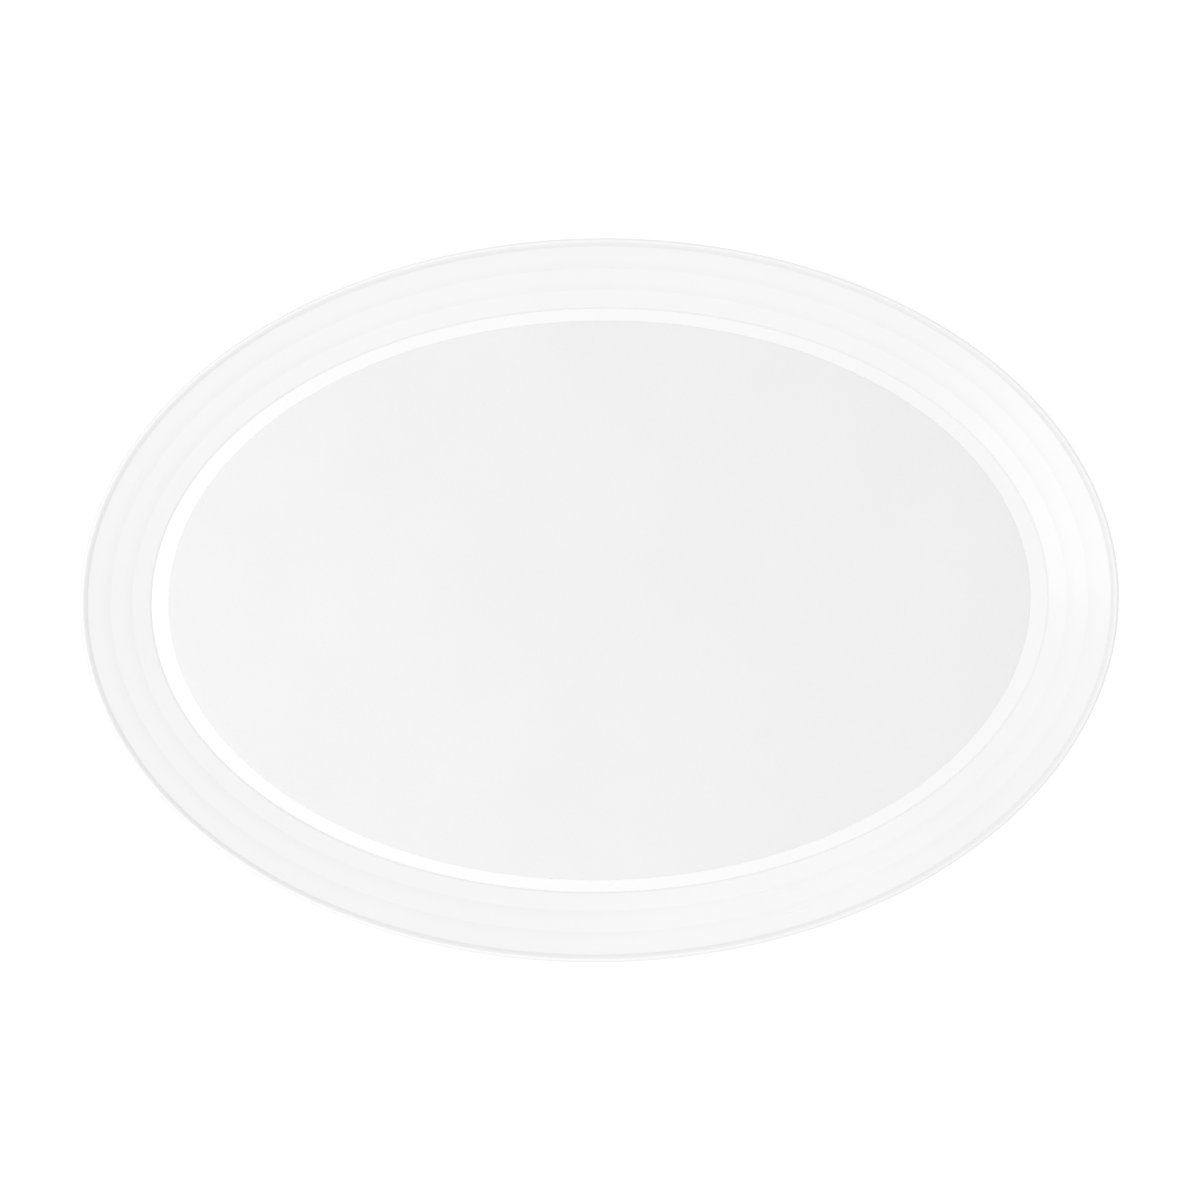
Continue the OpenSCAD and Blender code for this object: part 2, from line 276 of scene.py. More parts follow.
def rib(start: float, end: float, root: float, tip: float, width: float, slope: float = 0.0) -> Shape:
    """Straight rib along +X with drafted sides, a rounded tip and a fillet at its root.

    The section is an outline across Y and Z. Along the rib it stays the same, except that its
    height falls off in a straight line over the last stretch.

    Args:
        start: where it begins, along X.
        end: where it ends, along X.
        root: height of the face that it stands on or hangs from.
        tip: height of its edge.
        width: width at the root.
        slope: length of the stretch over which its height falls to a quarter.

    Returns:
        The rib, with its root sunk into the face.
    """
    height, half, fillet, draft = abs(tip - root), width / 2, 0.45, 0.08
    section = rounded([
        (half + fillet, -SUNK, 0), (half + fillet, 0, 0), (half, 0, fillet - 0.01),
        (half - draft, height, 0.3), (draft - half, height, 0.3),
        (-half, 0, fillet - 0.01), (-half - fillet, 0, 0), (-half - fillet, -SUNK, 0),
    ], steps=4)
    along = np.array([start, end - slope, end] if slope else [start, end])
    share = np.array([1.0, 1.0, 0.25] if slope else [1.0, 1.0])[:, None]
    across, up = section[:, 0], section[:, 1]
    rise = np.where(up > 0, up * share, up)
    up_or_down = 1 if tip > root else -1
    grid = np.stack(np.broadcast_arrays(along[:, None], across, root + up_or_down * rise), axis=-1)
    return skin(grid)


def boss(radius: float, root: float, tip: float) -> Shape:
    """Round boss on the axis, with a fillet at its root and a rounded tip.

    Args:
        radius: its radius.
        root: height of the face that it stands on or hangs from.
        tip: height of its end.

    Returns:
        The boss, with its root sunk into the face.
    """
    way = 1 if tip > root else -1
    outline = rounded([
        (0, root - SUNK * way, 0), (radius + 0.5, root - SUNK * way, 0), (radius + 0.5, root, 0),
        (radius, root, 0.48), (radius, tip, 0.3), (0, tip, 0),
    ], loop=False)
    return spin(outline, 48, loop=False)


def plug(radius: float, low: float, high: float, segments: int = 48) -> Shape:
    """Plain round plug on the axis, used to cut a hole."""
    return spin(np.array([(0, low), (radius, low), (radius, high), (0, high)]), segments, loop=False)


def thread(outer: float, depth: float, pitch: float, low: float, high: float, turn: np.ndarray) -> np.ndarray:
    """Rows of a helical thread that runs up the axis.

    The radius at height z and angle t is outer - depth * groove((z / pitch - t / whole turn) mod 1),
    where groove goes from 0 on the flat crest to 1 at the root and back, and fades out at both ends.

    Args:
        outer: radius of the crest.
        depth: depth of the groove.
        pitch: rise in one turn.
        low: height of the first row.
        high: height of the last row.
        turn: angles of the columns.

    Returns:
        Grid of points, rows by columns by (x, y, z).
    """
    height = np.arange(low, high, pitch / 12)[:, None]
    phase = (height / pitch - turn / (2 * math.pi)) % 1
    groove = np.clip(1.25 * (1 - np.abs(2 * phase - 1)) - 0.15, 0, 1)
    fade = np.clip(np.minimum(height - low, high - height) / (pitch / 2), 0, 1)
    return swept(outer - depth * groove * fade, height, turn)


# ----- Meshes -----


class Join(Enum):
    """Ways to combine a piece with a tool."""

    ADD = "UNION"
    CUT = "DIFFERENCE"


def soften(mesh: bpy.types.Mesh, angle: float) -> None:
    """Shades a mesh smooth, except across edges sharper than an angle in degrees."""
    mesh.polygons.foreach_set("use_smooth", np.ones(len(mesh.polygons), bool))
    mesh.set_sharp_from_angle(angle=math.radians(angle))


def mesh_object(name: str, shape: Shape, angle: float = 40.0) -> Piece:
    """New object that holds a shape, in metres.

    Args:
        name: the object's name.
        shape: its surface.
        angle: edges sharper than this, in degrees, stay crisp.

    Returns:
        The object, linked to the scene.
    """
    mesh = bpy.data.meshes.new(name)
    faces = shape.quads.tolist() + shape.tris.tolist() + [cap.tolist() for cap in shape.caps]
    mesh.from_pydata((shape.points * MM).tolist(), [], faces)
    mesh.update()
    soften(mesh, angle)
    piece = bpy.data.objects.new(name, mesh)
    bpy.context.scene.collection.objects.link(piece)
    return piece


def turned(name: str, corners: Sequence[Corner], segments: int = 96, loop: bool = True) -> Piece:
    """New object whose rounded outline goes round the axis, as rounded and spin say."""
    return mesh_object(name, spin(rounded(corners, loop), segments, loop))


def combine(piece: Piece, tool: Shape, how: Join, angle: float = 40.0) -> None:
    """Adds a tool to a piece or cuts it out, and keeps the result as the piece's mesh.

    Args:
        piece: the object that changes.
        tool: one shape, or copies that don't touch each other.
        how: whether it is added or cut out.
        angle: edges sharper than this, in degrees, stay crisp.
    """
    cutter = mesh_object("cutter", tool)
    step = piece.modifiers.new("combine", "BOOLEAN")
    step.operation = how.value
    step.solver = "MANIFOLD"
    step.object = cutter
    solid = bpy.data.meshes.new_from_object(piece.evaluated_get(bpy.context.evaluated_depsgraph_get()))
    piece.modifiers.clear()
    old = piece.data
    solid.name = piece.name
    piece.data = solid
    bpy.data.meshes.remove(old)
    bpy.data.objects.remove(cutter)
    soften(solid, angle)


def place(piece: Piece, body: str, node: str, finish: "Finish") -> None:
    """Dresses a piece, makes it ride on a body and lets it stand for a frame node.

    Args:
        piece: the finished mesh.
        body: the body that it moves with.
        node: the frame node that it replaces.
        finish: its material.
    """
    piece.data.materials.clear()
    piece.data.materials.append(finish.material())
    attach(piece, body)
    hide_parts(node)
    LOG.info("%s stands for %s on body %s: %d faces", piece.name, node, body, len(piece.data.polygons))


# ----- Materials -----


class Value:
    """A number on its way through a shader. Arithmetic on it adds Math nodes."""

    def __init__(self, graph: "Graph", socket: Socket) -> None:
        """Wraps a socket of a graph."""
        self.graph = graph
        self.socket = socket

    def _math(self, operation: str, first: Number, second: Number) -> "Value":
        """Result of one Math node."""
        return self.graph.value("ShaderNodeMath", {"operation": operation}, {0: first, 1: second})

    def __add__(self, other: Number) -> "Value":
        """Sum."""
        return self._math("ADD", self, other)

    __radd__ = __add__

    def __sub__(self, other: Number) -> "Value":
        """Difference."""
        return self._math("SUBTRACT", self, other)

    def __rsub__(self, other: float) -> "Value":
        """Difference from a number."""
        return self._math("SUBTRACT", other, self)

    def __mul__(self, other: Number) -> "Value":
        """Product."""
        return self._math("MULTIPLY", self, other)

    __rmul__ = __mul__

    def __pow__(self, other: float) -> "Value":
        """Power."""
        return self._math("POWER", self, other)

    def spread(self, low: float, high: float) -> "Value":
        """The value stretched so that low becomes 0 and high becomes 1, and clamped."""
        sockets = {"Value": self, "From Min": low, "From Max": high}
        return self.graph.value("ShaderNodeMapRange", {"clamp": True}, sockets)


class Graph:
    """Node tree of one material, with a Principled shader that already feeds its output."""

    def __init__(self, name: str) -> None:
        """Starts a material with the given name."""
        self.made = bpy.data.materials.new(name)
        self.made.use_nodes = True
        self.tree = self.made.node_tree
        self.tree.nodes.clear()
        self.shader = self.node("ShaderNodeBsdfPrincipled")
        self.node("ShaderNodeOutputMaterial", {}, {"Surface": self.shader.outputs["BSDF"]})

    def node(self, kind: str, settings: dict | None = None, sockets: dict | None = None) -> bpy.types.Node:
        """Makes one node.

        Args:
            kind: the node's type.
            settings: its settings, which are set first.
            sockets: values or links of its inputs, by name or number.

        Returns:
            The node.
        """
        made = self.tree.nodes.new(kind)
        for key, setting in (settings or {}).items():
            setattr(made, key, setting)
        for key, source in (sockets or {}).items():
            self.feed(made.inputs[key], source)
        return made

    def value(self, kind: str, settings: dict, sockets: dict, output: int | str = 0) -> Value:
        """One node's output as a Value."""
        return Value(self, self.node(kind, settings, sockets).outputs[output])

    def feed(self, socket: Socket, source: object) -> None:
        """Links a Value or a socket to an input, or sets the input to a number or colour."""
        if isinstance(source, Value):
            source = source.socket
        if isinstance(source, Socket):
            self.tree.links.new(source, socket)
        elif socket.type == "RGBA" and len(source) == 3:
            socket.default_value = (*source, 1.0)
        else:
            socket.default_value = source

    def shade(self, **inputs: object) -> None:
        """Sets or links inputs of the Principled shader, with _ for a space in a name."""
        for key, source in inputs.items():
            self.feed(self.shader.inputs[key.replace("_", " ")], source)

    def place(self) -> Socket:
        """Object coordinates, in metres."""
        return self.node("ShaderNodeTexCoord").outputs["Object"]

    def noise(self, size: float, detail: float = 2.0, rough: float = 0.5) -> Value:
        """Soft noise about 0.5, whose lumps are size millimetres across."""
        sockets = {"Vector": self.place(), "Scale": 1 / (size * MM), "Detail": detail, "Roughness": rough}
        return self.value("ShaderNodeTexNoise", {}, sockets)

    def pebbles(self, size: float) -> Value:
        """Rounded cells, 0 at their middles, size millimetres apart."""
        settings = {"feature": "SMOOTH_F1"}
        sockets = {"Vector": self.place(), "Scale": 1 / (size * MM), "Smoothness": 0.4}
        return self.value("ShaderNodeTexVoronoi", settings, sockets, "Distance")

    def radius(self) -> Value:
        """Distance from the turning axis, in metres."""
        apart = self.node("ShaderNodeSeparateXYZ", {}, {"Vector": self.place()})
        x, y = Value(self, apart.outputs["X"]), Value(self, apart.outputs["Y"])
        return (x * x + y * y) ** 0.5

    def turned(self, size: float) -> Value:
        """Fine rings about the turning axis, as a lathe leaves them, about size millimetres apart."""
        sockets = {"W": self.radius() * (1 / (size * MM)), "Scale": 1.0, "Detail": 2.0}
        return self.value("ShaderNodeTexNoise", {"noise_dimensions": "1D"}, sockets)

    def edges(self, low: float, high: float) -> Value:
        """1 on outer edges that hands and cloths rub, 0 elsewhere, from the surface's pointedness."""
        return self.value("ShaderNodeNewGeometry", {}, {}, "Pointiness").spread(low, high)

    def tint(self, share: Value, low: object, high: object) -> Socket:
        """Colour between low and high, each a colour or a socket that carries one."""
        made = self.node("ShaderNodeMix", {"data_type": "RGBA"}, {0: share, 6: low, 7: high})
        return made.outputs[2]

    def bump(self, height: Value, depth: float) -> Socket:
        """Normal of a surface whose height is given, where 1 stands for depth millimetres."""
        sockets = {"Height": height, "Distance": depth * MM, "Strength": 1.0}
        return self.node("ShaderNodeBump", {}, sockets).outputs["Normal"]


def scaled(colour: Colour, share: float) -> Colour:
    """The colour made lighter or darker by a share."""
    return tuple(min(1.0, channel * share) for channel in colour)


@dataclass(frozen=True)
class Moulded:
    """Moulded plastic or rubber: a faint mottle, a fine grain, and polish on rubbed edges."""

    name: str  # the material's name
    colour: Colour  # its base colour
    mottle: float = 0.02  # how much the colour wanders, as a share
    rough: tuple[float, float] = (0.35, 0.45)  # roughness from its smoothest to its dullest patch
    grain: float = 0.5  # size of the mould's texture, in millimetres
    depth: float = 0.004  # depth of that texture, in millimetres
    pebbled: bool = False  # whether the texture is rounded pebbles and not noise
    coat: float = 0.0  # clear gloss on top
    shine: float = 0.5  # strength of its own reflection, where 0.5 is that of common plastic
    soft: float = 0.0  # how much light wanders inside, as in thin or waxy plastic

    def material(self) -> bpy.types.Material:
        """The finished material, made once."""
        if self.name in bpy.data.materials:
            return bpy.data.materials[self.name]
        graph = Graph(self.name)
        wander = graph.noise(42, 3).spread(0.3, 0.7)
        fine = graph.noise(self.grain, 3, 0.6)
        rubbed = graph.edges(0.51, 0.58)
        low, high = self.rough
        darker, lighter = scaled(self.colour, 1 - self.mottle), scaled(self.colour, 1 + self.mottle)
        shade = wander * 0.7 + fine * 0.3
        texture = fine * 0.35 + graph.pebbles(self.grain) * 0.9 if self.pebbled else fine
        graph.shade(
            Base_Color=graph.tint(shade, darker, lighter),
            Roughness=(low + (high - low) * graph.noise(9, 4).spread(0.3, 0.7)) * (1 - 0.25 * rubbed),
            Normal=graph.bump(texture + graph.noise(6, 2) * 0.4, self.depth),
            Coat_Weight=self.coat,
            Coat_Roughness=0.12,
            Specular_IOR_Level=self.shine,
            Subsurface_Weight=self.soft,
            Subsurface_Radius=(0.6, 0.6, 0.6),
            Subsurface_Scale=0.002,
            IOR=1.49,
        )
        return graph.made


class Lay(Enum):
    """Which way the fine marks on a metal run."""

    RINGS = "rings about the axis"
    CLOUDS = "no direction"
    POLISH = "almost none"


@dataclass(frozen=True)
class Metal:
    """Bare or plated steel, with fine marks, dull patches and a film of oil or plating colour."""

    name: str  # the material's name
    colour: Colour  # its colour
    film: Colour  # the colour that it drifts towards
    rough: tuple[float, float] = (0.25, 0.4)  # roughness from its brightest to its dullest patch
    lay: Lay = Lay.CLOUDS  # which way the fine marks run
    depth: float = 0.002  # depth of the marks, in millimetres

    def material(self) -> bpy.types.Material:
        """The finished material, made once."""
        if self.name in bpy.data.materials:
            return bpy.data.materials[self.name]
        graph = Graph(self.name)
        patches = graph.noise(3.5, 4, 0.6).spread(0.35, 0.65)
        marks = {
            Lay.RINGS: lambda: graph.turned(0.22) * 0.8 + graph.noise(0.3) * 0.2,
            Lay.CLOUDS: lambda: graph.noise(0.25, 4, 0.65),
            Lay.POLISH: lambda: graph.noise(1.5, 5, 0.6),
        }[self.lay]()
        low, high = self.rough
        graph.shade(
            Base_Color=graph.tint(patches * 0.6 + marks * 0.4, self.colour, self.film),
            Metallic=1.0,
            Roughness=low + (high - low) * (marks * 0.6 + patches * 0.4),
            Normal=graph.bump(marks, self.depth),
        )
        return graph.made


@dataclass(frozen=True)
class StudioPaper:
    """Plain pale paper that the object stands on. It glows, with a painted shadow under the object and a
    painted falloff of light far away.
    """

    name: str  # the material's name
    colour: Colour  # its colour
    # how brightly it glows: a painted shadow under the object, the even glow round it, and a painted falloff
    # far away
    glow_and_painted_shade: tuple[float, float, float] = (0.1, 0.89, 0.55)
    # radii in metres between which the painted shadow under the object gives way to the even glow, and then
    # the painted falloff sets in
    reach: tuple[float, float, float, float] = (0.1, 0.142, 0.36, 2.6)

    def material(self) -> bpy.types.Material:
        """The finished material."""
        graph = Graph(self.name)
        fibre = graph.noise(2.5, 4, 0.6)
        painted_shadow, near, far = ((share,) * 3 for share in self.glow_and_painted_shade)
        painted_shadow_edge, fade = graph.radius().spread(*self.reach[:2]), graph.radius().spread(*self.reach[2:])
        graph.shade(
            Base_Color=graph.tint(fibre, scaled(self.colour, 0.995), scaled(self.colour, 1.005)),
            Roughness=0.85 + fibre * 0.1,
            Specular_IOR_Level=0.2,
            # Emission paints a round shadow under the object and a darker falloff far away onto the evenly
            # glowing paper.
            Emission_Color=graph.tint(fade ** 0.7, graph.tint(painted_shadow_edge, painted_shadow, near), far),
            Emission_Strength=1.0,
        )
        return graph.made


Finish = Moulded | Metal | StudioPaper

TRAY_WHITE = Moulded("satin_tray_plastic", (0.82, 0.82, 0.82), 0.006, (0.3, 0.38), 0.7, 0.004, coat=0.25)
MAT_GREY = Moulded(
    "pebbled_mat_rubber", (0.76, 0.76, 0.76), 0.012, (0.72, 0.85), 0.9, 0.05, pebbled=True, shine=0.2
)
MOULDED_WHITE = Moulded("eroded_white_plastic", (0.82, 0.82, 0.82), 0.015, (0.45, 0.58), 0.35, 0.012)
FOOT_RUBBER = Moulded("soft_foot_rubber", (0.5, 0.5, 0.51), 0.06, (0.65, 0.85), 0.4, 0.02)
NATURAL_ACETAL = Moulded("waxy_acetal", (0.86, 0.83, 0.76), 0.02, (0.3, 0.42), 0.5, 0.004, soft=0.3)
CAGE_NYLON = Moulded("black_nylon", (0.035, 0.035, 0.038), 0.1, (0.4, 0.6), 0.4, 0.01)
RACE_STEEL = Metal("turned_race_steel", (0.62, 0.63, 0.65), (0.5, 0.49, 0.47), (0.2, 0.38), Lay.RINGS)
BALL_STEEL = Metal(
    "polished_ball_steel", (0.78, 0.79, 0.8), (0.72, 0.73, 0.75), (0.04, 0.12), Lay.POLISH, 0.0003
)
ZINC_STEEL = Metal("zinc_plate", (0.66, 0.67, 0.69), (0.6, 0.6, 0.55), (0.22, 0.42), Lay.CLOUDS)
SPRING_STEEL = Metal("blued_spring_steel", (0.2, 0.23, 0.3), (0.3, 0.24, 0.2), (0.25, 0.4), Lay.RINGS)
PAPER = StudioPaper("studio_paper", (0.16, 0.16, 0.16))


# ----- Tray -----


@dataclass(frozen=True)
class Tray:
    """The oval tray, with the mat, cap and screws that are fixed in it."""

    rim_w: float = 27.5  # width of the stepped rim
    # start and run of each step as shares of the rim's width, and rise as a share of its height
    risers: tuple[Corner, ...] = (
        (0.0, 0.03, 0.02), (0.27, 0.15, 0.02), (0.57, 0.15, 0.02), (0.885, 0.07, 0.06),
    )
    tread_share: float = 0.88  # share of the height that the sloping treads take
    crest: float = 0.955  # where the lip is highest, as a share of the rim's width
    recess: float = 1.4  # depth of the mat's recess
    clearance: float = 0.1  # gap round the mat
    lip_h: float = 4.6  # height of the lip's outer band
    under_shift: float = 1.6  # how far the underside lies outside the upper face
    under_drop: float = 2.9  # how far the underside lies below it
    segments: int = 288  # steps round the oval
    rib_h: float = 3.4  # height of the ribs under the floor
    rib_count: int = 16  # how many ribs there are
    locate_h: float = 4.4  # height of the ring that goes round the swivel plate
    hub_r: float = 12.0  # radius of the opening under the cap
    cap_seat: float = 1.3  # depth of the cap's seat below the recess
    cap_t: float = 1.28  # thickness of the cap's disc
    skirt: Corner = (10.6, 11.9, 0.25)  # the cap's skirt: inner and outer radius, and its edge's radius
    screw_count: int = 6  # how many screws there are
    screw_ring: float = 60.0  # radius that they stand at
    hole_r: float = 1.8  # radius of a screw's hole
    sink_r: float = 3.3  # radius of its countersink
    sink_h: float = 1.6  # depth of its countersink
    body: str = "tray"

    @property
    def shell(self) -> Extent:
        """Extent of the whole tray."""
        return Extent.of("tray_shell")

    @property
    def inlay(self) -> Extent:
        """Extent of the mat."""
        return Extent.of("non_slip_mat")

    @property
    def plate(self) -> Extent:
        """Extent of the swivel plate that the tray stands on."""
        return Extent.of("swivel_plate")

    @property
    def under_z(self) -> float:
        """Height of the floor's underside."""
        return self.plate.top + PLAY

    @property
    def recess_z(self) -> float:
        """Height of the recess that holds the mat."""
        return self.inlay.bottom - 0.01

    @property
    def floor_z(self) -> float:
        """Height of the level margin."""
        return self.recess_z + self.recess

    @property
    def rim_h(self) -> float:
        """Rise of the lip above the floor."""
        return self.shell.top - self.floor_z

    def rise(self, share: np.ndarray) -> np.ndarray:
        """Height of the rim's upper face above the floor.

        It is a straight slope up to the crest plus one soft step for each riser, u * (2 - u),
        where u goes from 0 to 1 along the riser.

        Args:
            share: places across the rim, 0 at its foot and 1 at the lip.

        Returns:
            The heights.
        """
        start, run, height = np.array(self.risers).T
        step = np.clip((share[:, None] - start) / run, 0, 1)
        steps = (height * step * (2 - step)).sum(axis=1)
        return self.rim_h * (self.tread_share * np.clip(share / self.crest, 0, 1) + steps)

    def rings(self, outset: np.ndarray, height: np.ndarray) -> np.ndarray:
        """Oval rings that stand outset outside the floor's oval."""
        a = self.shell.half_x - self.rim_w + outset
        b = self.shell.half_y - self.rim_w + outset
        return np.stack(np.broadcast_arrays(a, b, height), axis=-1)

    def bowl(self) -> Shape:
        """Skin of the tray: recess, margin, rim, lip, underside."""
        a, b = self.inlay.half_x + self.clearance, self.inlay.half_y + self.clearance
        floor_z, lip_z, under_z = self.floor_z, self.shell.top, self.under_z
        recess = np.array([
            (a, b, self.recess_z), (a, b, floor_z - 0.06), (a + 0.06, b + 0.06, floor_z),
        ])
        share = np.unique(np.concatenate([np.linspace(0, self.crest, 110), np.array(self.risers)[:, 0]]))[:-1]
        top = self.rings(share * self.rim_w, floor_z + self.rise(share))
        before = self.rings(np.array([-1.5, -0.3]), np.array([floor_z, floor_z]))
        edge = rounded([
            (self.rim_w - 2, lip_z, 0), (self.rim_w, lip_z, self.rim_w * (1 - self.crest)),
            (self.rim_w, lip_z - self.lip_h, 0.6), (self.rim_w - 1.2, lip_z - self.lip_h - 0.2, 0),
        ], loop=False, steps=8)[1:]
        back = np.linspace(1 - (self.under_shift + 1.4) / self.rim_w, 0.045, 70)
        under = self.rings(
            back * self.rim_w + self.under_shift, floor_z + self.rise(back) - self.under_drop
        )
        foot = rounded([
            (self.under_shift + 1.6, floor_z - 1.2, 0), (self.under_shift + 0.6, floor_z - 1.6, 1.5),
            (self.under_shift - 0.6, under_z, 1.0), (self.under_shift - 4, under_z, 0),
        ], loop=False)
        rows = [recess, before, top, self.rings(*edge.T), under, self.rings(*foot[1:].T)]
        return oval_skin(np.concatenate(rows), self.segments)

    def reach(self, angle: float) -> float:
        """Distance from the axis to the floor's edge in a direction, for ribs and marks."""
        a, b = self.shell.half_x - self.rim_w, self.shell.half_y - self.rim_w
        turn = math.radians(angle)
        return a * b / math.hypot(b * math.cos(turn), a * math.sin(turn))

    def ribs(self) -> Shape:
        """Ribs under the floor, from the locating ring to just inside the rim."""
        inner, tip = self.plate.half_x + 1.5, self.under_z - self.rib_h
        ribs = []
        for i in range(self.rib_count):
            angle = 360 * (i + 0.5) / self.rib_count
            end = self.reach(angle) - 3
            ribs.append(rib(inner, end, self.under_z, tip, 1.8, (end - inner) * 2 / 3).placed(turn=angle))
        return merged(ribs)

    def marks(self) -> Shape:
        """Shallow round marks that the ejector pins leave under the floor."""
        disc = plug(3.2, self.under_z - 1, self.under_z + 0.12, 40)
        inner, least = self.plate.half_x, 16
        angles = [360 * i / self.rib_count for i in range(self.rib_count)]
        return merged([
            disc.placed(((inner + self.reach(angle)) / 2 + 1, 0, 0), angle)
            for angle in angles
            if self.reach(angle) > inner + least
        ])

    def build_shell(self) -> Piece:
        """The tray moulding."""
        piece = mesh_object("oval_tray", self.bowl())
        inner = self.plate.half_x + 0.5
        ring = rounded([
            (inner, self.under_z + 0.6, 0), (inner, self.under_z - self.locate_h, 0.4),
            (inner + 2, self.under_z - self.locate_h, 0.4), (inner + 2, self.under_z, 0.45),
            (inner + 2.5, self.under_z, 0), (inner + 2.5, self.under_z + 0.6, 0),
        ])
        combine(piece, spin(ring, self.segments), Join.ADD)
        combine(piece, self.ribs(), Join.ADD)
        combine(piece, self.marks(), Join.CUT)
        below, cap_r = self.under_z - 1, Extent.of("hub_cap").half_x + self.clearance
        seat, head = self.recess_z - self.cap_seat, Extent.of("tray_screws").top
        hub = np.array([
            (0, below), (self.hub_r, below), (self.hub_r, seat),
            (cap_r, seat), (cap_r, self.floor_z), (0, self.floor_z),
        ])
        combine(piece, spin(hub, 96, loop=False), Join.CUT)
        sink = np.array([
            (0, below), (self.hole_r, below), (self.hole_r, head - self.sink_h),
            (self.sink_r, head), (self.sink_r, self.floor_z), (0, self.floor_z),
        ])
        combine(piece, spin(sink, 40, loop=False).around(self.screw_count, self.screw_ring), Join.CUT)
        return piece

    def build_mat(self) -> Piece:
        """The inlaid mat, which fills its recess and is pressed a hair into its wall."""
        press = 0.02
        a, b = self.inlay.half_x + self.clearance + press, self.inlay.half_y + self.clearance + press
        edge = rounded([
            (0, self.inlay.bottom, 0), (0, self.inlay.top, 0.15), (-4, self.inlay.top, 0),
        ], loop=False)
        rings = np.stack([a + edge[:, 0], b + edge[:, 0], edge[:, 1]], axis=-1)
        inner = rings[-1] * np.array([0.5, 0.5, 1.0])
        return mesh_object("inlaid_mat", oval_skin(np.vstack([rings, inner]), self.segments))

    def build_cap(self) -> Piece:
        """The cap over the hub: a disc with a snap skirt."""
        cap, (inner, outer, edge) = Extent.of("hub_cap"), self.skirt
        under = cap.top - self.cap_t
        return turned("hub_cover", [
            (0, cap.top, 0), (cap.half_x, cap.top, 0.2), (cap.half_x, under, 0.1), (outer, under, 0.1),
            (outer, cap.bottom, edge), (inner, cap.bottom, edge), (inner, under, 0.2), (0, under, 0),
        ], loop=False)

    def build_screws(self) -> Piece:
        """The countersunk screws, each with a cross recess and a coarse thread."""
        box = Extent.of("tray_screws")
        turn = full_turn(48)
        screw = skin(stacked(turn, [
            (0, box.bottom), (0.35, box.bottom + 0.1),
            thread(1.5, 0.38, 0.9, box.bottom + 0.8, box.top - 1.6, turn),
            (1.5, box.top - 1.5), (3.1, box.top - 0.2), (3.1, box.top - 0.08), (3.0, box.top), (0, box.top),
        ]))
        piece = mesh_object("countersunk_screws", screw.around(self.screw_count, self.screw_ring))
        slot = np.array([(-1, -1), (1, -1), (1, 1), (-1, 1)], float)
        ends = [(0.9, 0.28, box.top - 1.0), (1.7, 0.4, box.top + 0.5)]
        arm = skin(np.array([[(x * lng, y * wide, z) for x, y in slot] for lng, wide, z in ends]))
        for angle in (0, 90):
            cross = arm.placed(turn=angle).around(self.screw_count, self.screw_ring)
            combine(piece, cross, Join.CUT, 30)
        return piece

    def build(self) -> None:
        """Builds and dresses every piece of the tray."""
        place(self.build_shell(), self.body, "tray_shell", TRAY_WHITE)
        place(self.build_mat(), self.body, "non_slip_mat", MAT_GREY)
        place(self.build_cap(), self.body, "hub_cap", MOULDED_WHITE)
        place(self.build_screws(), self.body, "tray_screws", ZINC_STEEL)


# ----- Swivel plate -----


